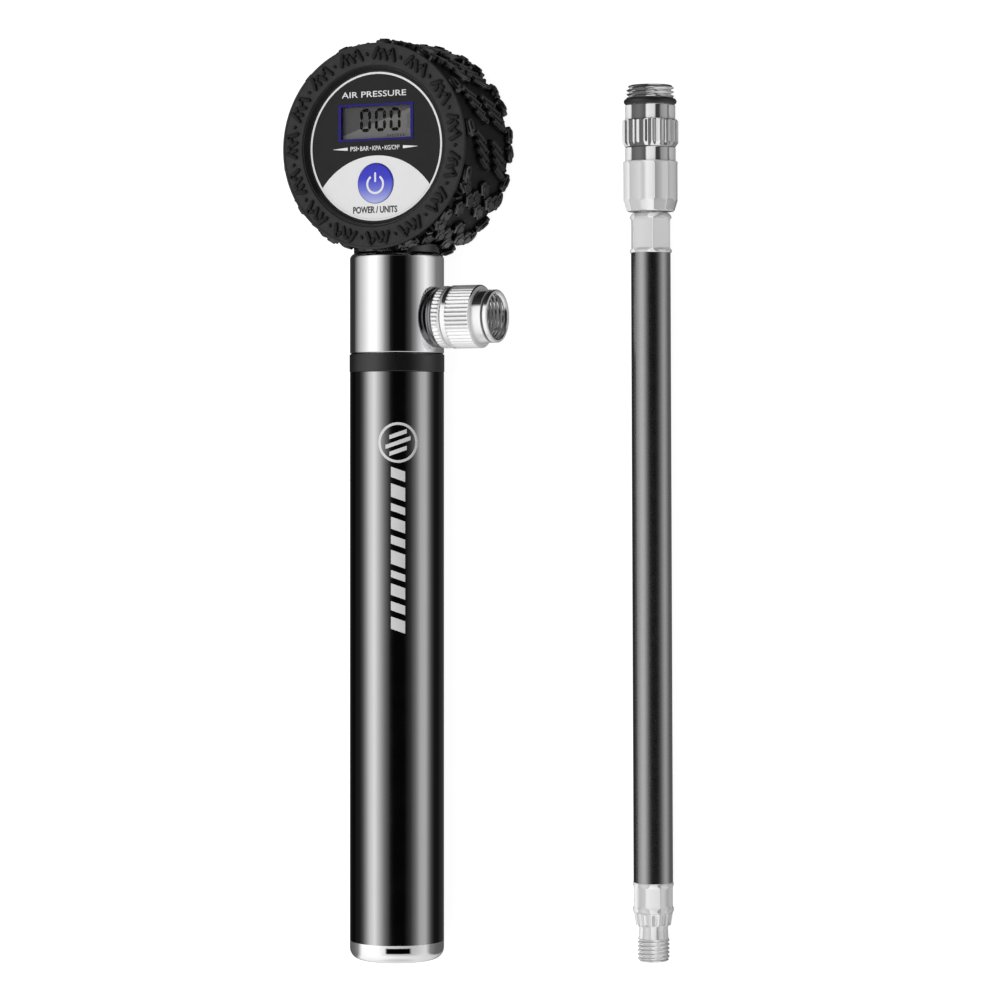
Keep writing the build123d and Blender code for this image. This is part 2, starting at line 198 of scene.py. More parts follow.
def face_way(material, axis):
    """0 for faces that look down an object's axis and 1 for those that look up it."""
    normal = node(material, "ShaderNodeTexCoord").outputs["Normal"]
    return spread(material, parts_of(material, normal)[axis], -1.0, 1.0)


def noise(material, size_mm, stretch=PLAIN, detail=3.0):
    """Noise whose features are about size_mm across."""
    texture = node(material, "ShaderNodeTexNoise", Scale=1 / (size_mm * MM), Detail=detail,
                   Vector=object_coordinates(material, stretch))
    return texture.outputs["Fac"]


def varied(material, size_mm, low, high):
    """A value that drifts between two others."""
    return spread(material, noise(material, size_mm), 0.3, 0.7, low, high)


def ramp(owner, value, *stops):
    """Colour ramp of (place, colour or grey) stops; the first two come in rising order."""
    made = node(owner, "ShaderNodeValToRGB", Fac=value)
    elements = made.color_ramp.elements
    for index, (place, colour) in enumerate(stops):
        stop = elements[index] if index < 2 else elements.new(place)
        stop.position = place
        stop.color = (*colour, 1) if isinstance(colour, tuple) else (colour, colour, colour, 1)
    return made.outputs["Color"]


def bump(material, height, depth_mm):
    """Normal of a surface that a height from 0 to 1 raises by depth_mm."""
    made = node(material, "ShaderNodeBump", Distance=depth_mm * MM, Strength=1.0, Height=height)
    return made.outputs["Normal"]


def polished(name, colour, rough, grain_mm, depth_mm, stretch=PLAIN):
    """Plated metal: roughness drifts a little and fine marks run along the stretch."""
    material, shader = principled(name, Base_Color=colour, Metallic=1.0)
    fill(material, shader, Roughness=varied(material, 9.0, rough * 0.65, rough * 1.35),
         Normal=bump(material, noise(material, grain_mm, stretch), depth_mm))
    return material


def moulded(name, colour, rough, grain_mm, depth_mm, lift=1.6, specular=0.5):
    """Plastic or rubber with fine moulded grain and faint uneven colour."""
    material, shader = principled(name, Specular_IOR_Level=specular)
    pale = tuple(channel * lift for channel in colour)
    fill(material, shader,
         Base_Color=ramp(material, noise(material, 4.0, detail=6.0), (0.35, colour), (0.75, pale)),
         Roughness=varied(material, 1.2, rough * 0.88, rough * 1.12),
         Normal=bump(material, noise(material, grain_mm), depth_mm))
    return material


def gloss_black():
    """Black plating with a painted reflection: a ramp on the facing angle paints a pale highlight band face
    on and fades it to black towards the edges.
    """
    material, shader = principled("gloss_black", Metallic=1.0)
    facing = node(material, "ShaderNodeLayerWeight", Blend=0.5).outputs["Facing"]
    # painted reflection: base colour by facing angle, a highlight band peaking at 0.13 and near black past
    # 0.39
    stops = ((0.0, 0.42), (0.52, 0.003), (0.05, 0.42), (0.13, 0.56), (0.20, 0.42), (0.26, 0.23),
             (0.32, 0.08), (0.39, 0.015))
    fill(material, shader, Base_Color=ramp(material, facing, *stops),
         Roughness=varied(material, 9.0, 0.09, 0.15),
         Normal=bump(material, noise(material, 0.5, ALONG_PUMP), 0.0002))
    return material


def glossy_rubber():
    """Smooth black hose cover with a strong sheen and faint extrusion lines."""
    material, shader = principled("hose_rubber", IOR=2.6, Coat_Weight=1.0, Coat_IOR=2.4, Coat_Roughness=0.2)
    dark, pale = (0.006, 0.006, 0.0065), (0.010, 0.010, 0.011)
    fill(material, shader,
         Base_Color=ramp(material, noise(material, 5.0, (1, 0.1, 1)), (0.35, dark), (0.7, pale)),
         Roughness=varied(material, 2.0, 0.24, 0.30),
         Normal=bump(material, noise(material, 0.3, (1, 0.05, 1)), 0.002))
    return material


def plated(name, axis, stops, metallic=0.55, least=0.08):
    """Bright plating with painted reflection bands: its base colour follows the way a face looks along one
    axis; its dark bands mirror most.
    """
    material, shader = principled(name)
    # painted reflection bands: base colour ramp on the face's direction along the axis
    colours = ramp(material, face_way(material, axis), *stops)
    fill(material, shader, Base_Color=colours,
         Metallic=spread(material, colours, 0.0, 0.95, metallic, least),
         Roughness=varied(material, 3.0, 0.12, 0.20),
         Normal=bump(material, noise(material, 0.3), 0.0008))
    return material, shader, colours


def port_plating(name, metallic, *bands):
    """Plating of the port, with painted reflection bands set by the way faces look along Y."""
    return plated(name, "Y", ((0.0, 0.86), (1.0, 0.75), *bands), metallic)[0]


def hose_plating(name, dark, middling, metallic):
    """Plating of the hose's ends with a painted reflection: a bright stripe between dark flanks, and pale
    edges.
    """
    stops = ((0.0, 0.90), (1.0, 0.95), (0.27, 0.92), (0.31, dark), (0.60, dark * 1.3), (0.63, 0.98),
             (0.775, 0.98), (0.80, dark), (0.85, dark * 1.4), (0.875, middling), (0.95, middling),
             (0.965, dark * 1.2), (0.98, 0.9))
    return plated(name, "X", stops, metallic)[0]


def cap_plating():
    """Bright end cap with a painted reflection: darker flanks and one black gleam painted low on its side."""
    flanks = ((0.0, 0.30), (1.0, 0.35), (0.16, 0.28), (0.27, 0.34), (0.33, 0.97), (0.955, 0.97),
              (0.975, 0.35))
    material, shader, banded = plated("cap_plate_painted_reflection", "X", flanks, 0.7, 0.3)
    # painted reflection: black on faces turned one way along X, kept to a belt along Y
    gleam = ramp(material, face_way(material, "X"),
                 (0.0, 1), (1.0, 1), (0.612, 1), (0.632, 0), (0.84, 0), (0.86, 1))
    height = along_y(material, corner("end_cap", 0, 1), corner("handle_sleeve", 0, 1))
    belt = ramp(material, height, (0.0, 0), (1.0, 0), (0.54, 0), (0.59, 1), (0.84, 1), (0.88, 0))
    painted_dark_gleam = node(material, "ShaderNodeMixRGB", blend_type="MULTIPLY", Fac=belt, Color1=banded,
                    Color2=gleam)
    fill(material, shader, Base_Color=painted_dark_gleam.outputs["Color"])
    return material


def board_material():
    """Green solder mask with faint copper tracks under it."""
    material, shader = principled("board_mask", Roughness=0.35)
    bricks = node(material, "ShaderNodeTexBrick", Scale=260.0, Vector=object_coordinates(material),
                  Color1=(0.012, 0.10, 0.035), Color2=(0.010, 0.075, 0.028), Mortar=(0.03, 0.17, 0.06))
    fill(material, shader, Base_Color=bricks.outputs["Color"],
         Normal=bump(material, noise(material, 0.3), 0.004))
    return material


def button_material():
    """Translucent blue, deep at the top and pale at the bottom."""
    material, shader = principled("button_blue", Roughness=0.2, Specular_IOR_Level=0.25)
    half = 5.0
    height = along_y(material, BUTTON_Y - half, BUTTON_Y + half)
    colours = ramp(material, height, (0.02, (0.38, 0.40, 0.70)), (0.98, (0.022, 0.024, 0.40)),
                   (0.35, (0.13, 0.15, 0.58)), (0.62, (0.035, 0.038, 0.50)))
    fill(material, shader, Base_Color=colours, Normal=bump(material, noise(material, 0.4), 0.001))
    return material


def lcd_material():
    """Grey liquid-crystal panel with a painted reflection of the window, paler below a slanting line, and a
    fine cell texture.
    """
    material, shader = principled("lcd_panel_painted_reflection", Roughness=0.4, Specular_IOR_Level=0.15)
    # painted reflection: the paler colour below the slanting line
    slant = 3.0
    place = parts_of(material, object_coordinates(material))
    lean = calculated(material, "MULTIPLY_ADD", place["Y"], -slant, place["X"])
    middle = -slant * (LCD_Y + 0.2)
    step = spread(material, lean, (middle - 0.25) * MM, (middle + 0.25) * MM)
    colours = ramp(material, step, (0.0, (0.075, 0.072, 0.072)), (1.0, (0.165, 0.162, 0.158)))
    fill(material, shader, Base_Color=colours, Normal=bump(material, noise(material, 0.1), 0.0005))
    return material


def glass_material():
    """Clear window that only adds gloss to what lies under it."""
    material, shader = principled("lcd_clear", Base_Color=(0.02, 0.02, 0.02), Roughness=0.05, Alpha=0.05)
    fill(material, shader, Normal=bump(material, noise(material, 2.0), 0.0005))
    return material


def grey(level):
    return (level, level, level)


CHROME = polished("chrome", (0.86, 0.86, 0.87), 0.035, 0.25, 0.0002, AROUND_PUMP)
NICKEL = polished("satin_nickel", (0.84, 0.84, 0.85), 0.13, 0.3, 0.001)
DARK_METAL = polished("dark_metal", (0.22, 0.22, 0.23), 0.12, 0.3, 0.001)
STEEL = polished("steel", (0.62, 0.62, 0.63), 0.28, 0.2, 0.002, ALONG_PUMP)
BRASS = polished("brass", (0.72, 0.52, 0.22), 0.22, 0.3, 0.001)
BARREL_METAL = polished("barrel_anodised", (0.66, 0.67, 0.69), 0.16, 0.2, 0.0008, AROUND_PUMP)
# the hose fittings, the port and the end cap carry painted reflection bands in their base colours; the second
# hose copy has darker painted bands
FITTING = hose_plating("fitting_pale_painted_bands", 0.50, 0.86, 0.4)
FITTING_DARK_PAINTED_BANDS = hose_plating("fitting_dark_painted_bands", 0.10, 0.50, 0.6)
PORT_PLATE = port_plating("port_plate_painted_bands", 0.4, (0.66, 0.93), (0.71, 0.05), (0.90, 0.03), (0.955, 0.07),
                          (0.975, 0.8))
PORT_KNURL = port_plating("port_knurl_painted_bands", 0.35, (0.62, 0.95), (0.70, 0.38), (0.92, 0.34), (0.97, 0.8))
CAP_PLATE = cap_plating()
BLACK_PAINTED_REFLECTION = gloss_black()
HOSE_RUBBER = glossy_rubber()
PRINT_SILVER = moulded("print_silver", (0.66, 0.66, 0.67), 0.35, 0.15, 0.001, 1.05)
TREAD_RUBBER = moulded("tread_rubber", (0.0025, 0.0025, 0.003), 0.22, 0.22, 0.006, 1.6, 0.9)
SIDEWALL_RUBBER = moulded("sidewall_rubber", (0.019, 0.019, 0.0195), 0.60, 0.30, 0.010, 1.35, 0.35)
MARK_RUBBER = moulded("mark_rubber", grey(0.003), 0.42, 0.2, 0.006, 1.5, 0.28)
VALLEY_RUBBER = moulded("valley_rubber", grey(0.0055), 0.60, 0.3, 0.012, 1.5, 0.28)
SEAL_RUBBER = moulded("seal_rubber", grey(0.012), 0.42, 0.3, 0.004)
HOUSING = moulded("housing_plastic", (0.022, 0.022, 0.023), 0.48, 0.16, 0.010)
BEZEL = moulded("bezel_plastic", (0.006, 0.006, 0.0065), 0.42, 0.2, 0.004, 1.5, 0.3)
COLLAR = moulded("collar_plastic", grey(0.005), 0.32, 0.14, 0.010, 1.3, 0.7)
CARRIER = moulded("carrier_plastic", (0.62, 0.62, 0.60), 0.5, 0.2, 0.004, 1.1)
DIAL_DARK = moulded("dial_dark", (0.009, 0.009, 0.0095), 0.42, 0.12, 0.0008, 1.1, 0.22)
PRINT_WHITE = moulded("print_white", grey(0.70), 0.45, 0.12, 0.001, 1.03, 0.3)
PRINT_BLACK = moulded("print_black", grey(0.02), 0.4, 0.12, 0.001)
LCD_INK = moulded("lcd_ink", grey(0.001), 0.5, 0.12, 0.001, 1.2, 0.05)
LCD_FAINT = moulded("lcd_faint_ink", grey(0.035), 0.35, 0.12, 0.001)
FRAME_BLUE = moulded("lcd_frame_blue", (0.007, 0.005, 0.115), 0.4, 0.2, 0.001, 1.3, 0.2)

SLOT_MATERIALS = {
    "tyre_rubber": TREAD_RUBBER, "seal_rubber": SEAL_RUBBER, "hose_rubber": HOSE_RUBBER,
    "housing_plastic": HOUSING, "bezel_plastic": BEZEL, "collar_plastic": COLLAR,
    "carrier_plastic": CARRIER, "dial_print": DIAL_DARK, "button_plastic": button_material(),
    "lcd_frame_blue": FRAME_BLUE, "lcd_clear": glass_material(), "lcd_body": lcd_material(),
    # satin_nickel parts take FITTING, plating with painted reflection bands
    "board": board_material(), "steel": STEEL, "chrome": CHROME, "satin_nickel": FITTING,
    "dark_metal": DARK_METAL, "gloss_black": BLACK_PAINTED_REFLECTION, "aluminium": BARREL_METAL, "brass": BRASS,
}
SLOT_OF = {part["node"]: part["material_slot"] for part in frame["record"]["subparts"]}


def dress_cad_nodes():
    for name, slot in SLOT_OF.items():
        mesh = NODES[name].data
        mesh.materials.clear()
        mesh.materials.append(CAP_PLATE if name == "end_cap" else SLOT_MATERIALS[slot])


dress_cad_nodes()


# ---- mesh code ----
def shade(mesh, sharp_degrees=38):
    """Smooth faces, with edges sharper than the angle left crisp."""
    work = bmesh.new()
    work.from_mesh(mesh)
    bmesh.ops.remove_doubles(work, verts=work.verts, dist=1e-8)
    bmesh.ops.dissolve_degenerate(work, edges=work.edges, dist=1e-8)
    bmesh.ops.recalc_face_normals(work, faces=work.faces)
    limit = math.radians(sharp_degrees)
    for face in work.faces:
        face.smooth = True
    for edge in work.edges:
        edge.smooth = len(edge.link_faces) == 2 and edge.calc_face_angle(0) < limit
    work.to_mesh(mesh)
    work.free()


def piece(name, verts, faces, materials, body, replaced=(), face_slots=None, sharp=38):
    """Makes a piece from vertices in mm and rides it on its body."""
    mesh = bpy.data.meshes.new(name)
    mesh.from_pydata([Vector(v) * MM for v in verts], [], faces)
    for material in materials:
        mesh.materials.append(material)
    if face_slots:
        mesh.polygons.foreach_set("material_index", face_slots)
    shade(mesh, sharp)
    made = new_object(name, mesh)
    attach(made, body)
    for old in replaced:
        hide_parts(old)
    return made


def ring_faces(rows, count, closed=False):
    """Faces between rows of points, each row a ring.

    Closed joins the last row to the first; otherwise both of them are capped.
    """
    faces = [] if closed else [tuple(range(count)), tuple(range((rows - 1) * count, rows * count))]
    for row in range(rows if closed else rows - 1):
        after = (row + 1) % rows
        for step in range(count):
            beside = (step + 1) % count
            faces.append((row * count + step, row * count + beside,
                          after * count + beside, after * count + step))
    return faces


def lathe(profile, place, segments=128, relief=None):
    """Vertices and faces turned about local Z from (radius, height) points.

    relief(angle, radius, height) gives the radius to use instead.
    """
    verts = []
    for radius, height in profile:
        for step in range(segments):
            angle = TAU * step / segments
            r = relief(angle, radius, height) if relief else radius
            verts.append(place @ Vector((r * math.cos(angle), r * math.sin(angle), height)))
    return verts, ring_faces(len(profile), segments, True)


def eased(corners, ease=0.15, steps=3):
    """Rounds each corner of a closed outline; a third value in a corner sets its own ease."""
    outline = []
    most = 0.45                # of a side's length, taken up by one corner
    count = len(corners)
    for index, corner_values in enumerate(corners):
        here = Vector(corner_values[:2])
        before = Vector(corners[index - 1][:2])
        after = Vector(corners[(index + 1) % count][:2])
        size = corner_values[2] if len(corner_values) > 2 else ease
        if size <= 0:
            outline.append(tuple(here))
            continue
        start, end = (here + (beside - here).normalized() * min(size, (beside - here).length * most)
                      for beside in (before, after))
        for step in range(steps + 1):
            t = step / steps
            point = start * (1 - t) ** 2 + here * 2 * t * (1 - t) + end * t ** 2
            outline.append(tuple(point))
    return outline


def dense(profile, low, high, spacing):
    """Adds points to the stretches of an outline whose heights lie between low and high."""
    filled = []
    count = len(profile)
    for index, start in enumerate(profile):
        end = profile[(index + 1) % count]
        filled.append(start)
        inside = low - 0.01 <= min(start[1], end[1]) and max(start[1], end[1]) <= high + 0.01
        pieces = int(abs(end[1] - start[1]) / spacing)
        if inside and pieces > 1:
            for step in range(1, pieces):
                t = step / pieces
                filled.append((start[0] + (end[0] - start[0]) * t, start[1] + (end[1] - start[1]) * t))
    return filled


def raised(outline, place_point, height, inset=0.22, sink=0.4, shoulder=0.75):
    """A pad raised from a surface: an outline of (u, v) points, drawn in towards its top."""
    centre_u = sum(u for u, _ in outline) / len(outline)
    centre_v = sum(v for _, v in outline) / len(outline)
    rings = [(-sink, 0.0), (height * shoulder, inset * 0.25), (height * 0.94, inset * 0.6), (height, inset)]
    verts = []
    for level, drawn_in in rings:
        for u, v in outline:
            away = Vector((u - centre_u, v - centre_v))
            scale = max(0.0, 1 - drawn_in / max(away.length, 1e-6))
            verts.append(place_point(centre_u + away.x * scale, centre_v + away.y * scale, level))
    return verts, ring_faces(len(rings), len(outline))


class Gather:
    """Collects vertices, faces and their material slots for one piece."""

    def __init__(self):
        self.verts = []
        self.faces = []
        self.slots = []

    def add(self, made, slot=0):
        verts, faces = made
        offset = len(self.verts)
        self.verts.extend(verts)
        self.faces.extend(tuple(offset + index for index in face) for face in faces)
        self.slots.extend([slot] * len(faces))


def turned(points, angle, centre):
    """Turns (x, y) points about the origin and moves them to a centre."""
    cos_a, sin_a = math.cos(angle), math.sin(angle)
    return [(centre[0] + x * cos_a - y * sin_a, centre[1] + x * sin_a + y * cos_a) for x, y in points]


def round_points(radius, centre, steps, count):
    """The first count points of a circle that is cut into steps."""
    angles = [TAU * i / steps for i in range(count)]
    return [(centre[0] + radius * math.cos(a), centre[1] + radius * math.sin(a)) for a in angles]


def capsule(length, width, angle, centre, ends=3):
    """Outline of a long pad with rounded ends."""
    half = (length - width) / 2
    points = []
    for side, turn in ((1, -90), (-1, 90)):
        for step in range(ends + 1):
            a = math.radians(turn + 180 * step / ends)
            points.append((side * half + width / 2 * math.cos(a), width / 2 * math.sin(a)))
    return turned(points, angle, centre)


# ---- hose: a straight free cord between its fittings ----
HOSE_TOP = -28.8               # faces of the two ferrules, along the hose from beside the dial
HOSE_BOTTOM = -184.8
HOSE_DIAMETER = 9.8


def hose_point(along):
    return (HOSE_ORIGIN + HOSE_AXIS * along) * MM


def make_hose():
    curve = bpy.data.curves.new("hose", "CURVE")
    curve.dimensions = "3D"
    curve.bevel_depth = HOSE_DIAMETER / 2 * MM
    curve.bevel_resolution = 20
    curve.use_fill_caps = True
    spline = curve.splines.new("NURBS")
    ends = [hose_point(HOSE_TOP), hose_point(HOSE_BOTTOM)]
    spline.points.add(len(ends) - 1)
    for point, place in zip(spline.points, ends):
        point.co = (*place, 1)
    spline.order_u = 3
    spline.use_endpoint_u = True
    curve.materials.append(HOSE_RUBBER)
    made = new_object("hose", curve)
    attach(made, "hose")
    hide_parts("hose_tube")
    return made


hose = make_hose()


# ---- threads, knurls and flutes ----
def fade(height, low, high, reach):
    """1 well between two heights, falling to 0 at them."""
    return min(1.0, max(0.0, min(height - low, high - height) / reach))


def thread(depth, phase, low, high, reach):
    """Relief of a helical ridge of 1 mm pitch: up to depth below the radius, fading at low and high."""
    def relief(angle, radius, height):
        wave = abs((height - angle / TAU + phase) % 1.0 * 2 - 1)
        groove = min(1.0, max(0.0, wave * 1.5 - 0.25))
        return radius - depth * (1 - groove) * fade(height, low, high, reach)
    return relief


def flutes(count, depth, low, high, sharp, reach):
    """Relief of grooves along the axis, between two heights."""
    def relief(angle, radius, height):
        if not low <= height <= high:
            return radius
        wave = 0.5 - 0.5 * math.cos(angle * count)
        return radius - depth * (1 - wave ** sharp) * fade(height, low, high, reach)
    return relief


def facets(count, low, high, round_off):
    """Relief that flattens the surface into count flats, softened towards the round."""
    def relief(angle, radius, height):
        if not low <= height <= high:
            return radius
        sector = TAU / count
        off = (angle % sector) - sector / 2
        flat = radius * math.cos(sector / 2) / math.cos(off)
        return radius + (flat - radius) * (1 - round_off) * fade(height, low, high, 0.4)
    return relief


def outside(least_r, relief):
    """A relief that leaves alone what is nearer the axis than least_r."""
    return lambda angle, radius, height: relief(angle, radius, height) if radius > least_r else radius


def turned_piece(name, corners, place, body, replaced, relief=None, low=0.0, high=0.0,
                 spacing=0.12, segments=128, ease=0.15, material=FITTING):
    """One turned part, with relief between two heights."""
    profile = eased(corners, ease)
    if relief:
        profile = dense(profile, low, high, spacing)
    verts, faces = lathe(profile, place, segments, relief)
    made = piece(name, verts, faces, [material], body, replaced, sharp=45)
    return made


def make_port():
    washer = [(3.0, 9.6), (5.0, 9.6, 0.2), (6.3, 10.7, 0.3), (7.25, 11.9, 0.2), (7.2, 12.25, 0.1),
              (7.6, 12.5, 0.2), (7.7, 13.35, 0.2), (3.0, 13.35)]
    turned_piece("port_dome_washer", washer, PORT, "pump_body", ["port_base_washer"], material=DARK_METAL)
    teeth = 44
    ring = [(4.06, 13.42), (7.5, 13.42, 0.1), (7.9, 13.7, 0.15), (7.9, 15.1, 0.15), (7.4, 15.5, 0.1),
            (4.06, 15.5)]
    turned_piece("port_ring_knurled", ring, PORT, "pump_body", ["port_lock_ring"],
                 flutes(teeth, 0.34, 13.6, 15.3, 0.6, 0.15), 13.6, 15.3, 0.25, teeth * 8, material=PORT_KNURL)

    spigot_r, knurl_r, nose_r, bore_r = 6.07, 8.0, 6.7, 5.45
    knurl_low, knurl_high = 17.4, 23.95
    nose_low = 24.25
    groove_low, groove_high, groove_r = 26.9, 27.55, nose_r - 0.5
    bore_low, bore_high = 22.4, PORT_END - 0.9

    def relief(angle, radius, height):
        if radius > knurl_r - 0.4:
            return flutes(teeth, 0.42, knurl_low, knurl_high, 0.6, 0.2)(angle, radius, height)
        if bore_r - 0.15 < radius < bore_r + 0.15:
            ridge = thread(0.75, 0.2, bore_low, bore_high, 0.4)(angle, 0.0, height)
            return radius - 0.02 - ridge if height < bore_high else radius
        return radius

    corners = [(spigot_r, 15.82), (7.3, 15.82, 0.1), (knurl_r, 16.3, 0.25), (knurl_r, 17.35, 0.05),
               (knurl_r, 24.0, 0.05), (7.7, nose_low, 0.1), (nose_r, nose_low, 0.1),
               (nose_r, groove_low, 0.08), (groove_r, groove_low, 0.05), (groove_r, groove_high, 0.05),
               (nose_r, groove_high, 0.1), (nose_r, PORT_END, 0.35), (6.0, PORT_END, 0.15),
               (bore_r, PORT_END - 0.7, 0.1), (bore_r, bore_low), (2.0, bore_low), (2.0, 21.27),
               (spigot_r, 21.27)]
    made = turned_piece("port_adapter_knurled", corners, PORT, "port_adapter", ["port_adapter"],
                        relief, 15.8, PORT_END, 0.11, teeth * 8, 0.12, PORT_PLATE)
    for material in (PORT_KNURL, DARK_METAL, NICKEL):
        made.data.materials.append(material)
    for face in made.data.polygons:
        along, across, up = face.center / MM
        radius = math.hypot(across - PORT_Y, up - AXIS_Z)
        if radius < bore_r + 0.35:
            face.material_index = 3
        elif knurl_low < along < knurl_high:
            face.material_index = 1
        # the nose groove's faces take the dark metal: painted shade in the groove
        elif groove_low < along < groove_high and radius < nose_r - 0.1:
            face.material_index = 2


make_port()


def make_hose_fittings():
    made = []
    thread_low, thread_high, thread_r = 9.5, 12.6, 5.9
    bore_r, stem_r, ferrule_bore_r = 1.5, 4.63, 3.03
    grip_top = 4.1
    port_thread = outside(thread_r - 0.3, thread(0.8, 0.1, thread_low, thread_high + 0.25, 0.35))
    corners = [(bore_r, thread_high), (5.3, thread_high, 0.1), (thread_r, 12.0, 0.1), (thread_r, 9.55, 0.05),
               (5.0, 9.45), (5.0, 7.7), (6.2, 7.7, 0.25), (6.2, grip_top), (4.6, grip_top), (4.6, -5.6),
               (bore_r, -5.6)]
    made.append(turned_piece("hose_port_thread", corners, HOSE, "hose_swivel", ["hose_port_fitting"],
                             port_thread, thread_low, thread_high, 0.08, 144, 0.1, FITTING_DARK_PAINTED_BANDS))

    grip = [(stem_r, -2.68), (6.2, -2.68, 0.2), (6.95, -1.6, 0.25), (6.95, grip_top - 0.4, 0.1),
            (6.6, grip_top - 0.02, 0.15), (stem_r, grip_top - 0.02)]
    made.append(turned_piece("hose_grip_fluted", grip, HOSE, "hose_swivel", ["hose_grip_ring"],
                             flutes(20, 0.36, -2.2, grip_top - 0.1, 0.8, 0.3), -2.2, grip_top, 0.3, 20 * 12,
                             material=FITTING_DARK_PAINTED_BANDS))

    band_low = -6.2
    flat_low, flat_high = -15.9, -6.5
    sleeve_low = -18.6
    flats = facets(12, sleeve_low, flat_high + 0.4, 0.1)
    grooves = flutes(12, 0.16, flat_low, flat_high, 0.25, 0.3)

    def flats_and_grooves(angle, radius, height):
        return grooves(angle, flats(angle, radius, height), height)

    sleeve = [(stem_r, -2.75), (6.1, -2.75, 0.1), (6.25, -2.95, 0.1), (6.25, band_low, 0.1),
              (6.6, band_low, 0.1), (6.85, band_low - 0.25, 0.1), (6.85, -15.6, 0.15), (6.0, -18.3, 0.15),
              (5.7, sleeve_low, 0.15), (3.07, sleeve_low), (3.07, -15.0), (stem_r, -15.0)]
    made.append(turned_piece("hose_sleeve_faceted", sleeve, HOSE, "hose_swivel", ["hose_swivel_sleeve"],
                             outside(5.8, flats_and_grooves), sleeve_low + 0.1, -6.4, 0.3, 12 * 16))
    # the band above band_low takes the copy with darker painted reflection bands
    made[-1].data.materials.append(FITTING_DARK_PAINTED_BANDS)
    for face in made[-1].data.polygons:
        if (face.center / MM - HOSE_ORIGIN).dot(HOSE_AXIS) > band_low:
            face.material_index = 1

    crimp = outside(4.9, facets(6, HOSE_TOP + 0.7, -20.2, 0.2))
    ferrule = [(ferrule_bore_r, HOSE_TOP), (5.12, HOSE_TOP, 0.1), (5.25, HOSE_TOP + 0.3, 0.15),
               (5.25, -19.9, 0.5), (4.5, -18.95, 0.3), (ferrule_bore_r, -18.95)]
    made.append(turned_piece("hose_ferrule_crimped", ferrule, HOSE, "hose", ["hose_port_ferrule"],
                             crimp, HOSE_TOP + 0.3, -19.9, 0.3, 160))

    far_low = -192.2
    far_crimp = outside(4.8, facets(8, far_low + 1.0, HOSE_BOTTOM - 0.8, 0.3))
    far = [(ferrule_bore_r, far_low), (4.95, far_low, 0.1), (5.05, far_low + 0.25, 0.1),
           (5.05, HOSE_BOTTOM - 0.3, 0.1), (4.92, HOSE_BOTTOM, 0.1), (ferrule_bore_r, HOSE_BOTTOM)]
    made.append(turned_piece("hose_far_ferrule_crimped", far, HOSE, "hose", ["hose_valve_ferrule"],
                             far_crimp, far_low + 0.25, HOSE_BOTTOM - 0.3, 0.3, 160))

    screw_low, screw_high, screw_r = -204.4, -198.8, 3.95
    collar_low = -195.5

    def far_relief(angle, radius, height):
        if radius > 3.8 and height < screw_high + 0.1:
            return thread(0.5, 0.35, screw_low - 0.25, screw_high, 0.35)(angle, radius, height)
        if radius > 4.2 and collar_low + 0.2 < height < far_low - 0.1:
            return flutes(12, 0.35, collar_low, far_low, 0.7, 0.5)(angle, radius, height)
        return radius

    valve = [(1.0, -175.0), (2.37, -175.0), (2.37, HOSE_BOTTOM), (3.0, HOSE_BOTTOM), (3.0, far_low),
             (4.85, far_low, 0.15), (4.35, collar_low + 0.1, 0.15), (3.7, collar_low), (3.55, -196.4, 0.2),
             (3.7, -198.75), (screw_r, -198.9), (screw_r, -203.85), (3.4, screw_low), (1.0, screw_low)]
    made.append(turned_piece("hose_far_thread", valve, HOSE, "hose", ["hose_valve_fitting"],
                             far_relief, screw_low, far_low, 0.08, 144, 0.1))
    return made


fittings = make_hose_fittings()
for unmirrored in (hose, *fittings, NODES["hose_stem"], NODES["hose_port_oring"]):
    unmirrored.visible_glossy = False


# ---- tyre ----
CARCASS_R = TREAD_R - 1.2
SIDEWALL_R = TREAD_R - 0.85
MARKS = 15
TREAD_CELLS = 14
SLANT = math.radians(62)
LUG_HEIGHT = 1.5
FULLER_BACK = 0.8              # how much the tread swells towards the back


def on_tread(cell_angle):
    """Maps (along the tread, height above the surface, rise) at a cell's angle."""
    def place_point(along, height, rise):
        shoulder = max(0.0, height - 22.8) * 0.4 + max(0.0, 1.6 - height) * 0.45
        radius = CARCASS_R + FULLER_BACK * max(0.0, min(1.0, (9.0 - height) / 6.0)) + rise - shoulder
        angle = cell_angle + along / TREAD_R
        return (radius * math.cos(angle), radius * math.sin(angle), height)
    return place_point


def on_sidewall(cell_angle, middle_r):
    """Maps (along the sidewall, outwards, rise) at a cell's angle."""
    def place_point(along, outwards, rise):
        radius = middle_r + outwards
        angle = cell_angle + along / middle_r
        return (radius * math.cos(angle), radius * math.sin(angle), FRONT_Z + rise)
    return place_point


def bar_cluster(gather, angle, chance):
    """Slanting parallel bars in echelon, each with a ridge on top and a bead at its ends."""
    place_point = on_tread(angle)
    cos_s, sin_s = math.cos(SLANT), math.sin(SLANT)
    spacing = 2.15
    for middle, shift in ((16.9, 0.9), (8.0, -0.9)):
        for step in range(4):
            off = step - 1.5
            along = -off * spacing + shift
            height = middle - off * 0.9 + chance.uniform(-0.3, 0.3)
            length = 7.6 - abs(off) * 0.8
            base = capsule(length, 1.75, SLANT, (along, height))
            gather.add(raised(base, place_point, LUG_HEIGHT * 0.82, 0.15))
            ridge = capsule(length - 0.7, 0.95, SLANT, (along, height))
            gather.add(raised(ridge, place_point, LUG_HEIGHT, 0.18))
            for end in (-1, 1):
                reach = end * (length / 2 - 0.75)
                bead = capsule(1.5, 0.9, SLANT + 1.3, (along + reach * cos_s, height + reach * sin_s))
                gather.add(raised(bead, place_point, LUG_HEIGHT + 0.12, 0.2, 0.1))


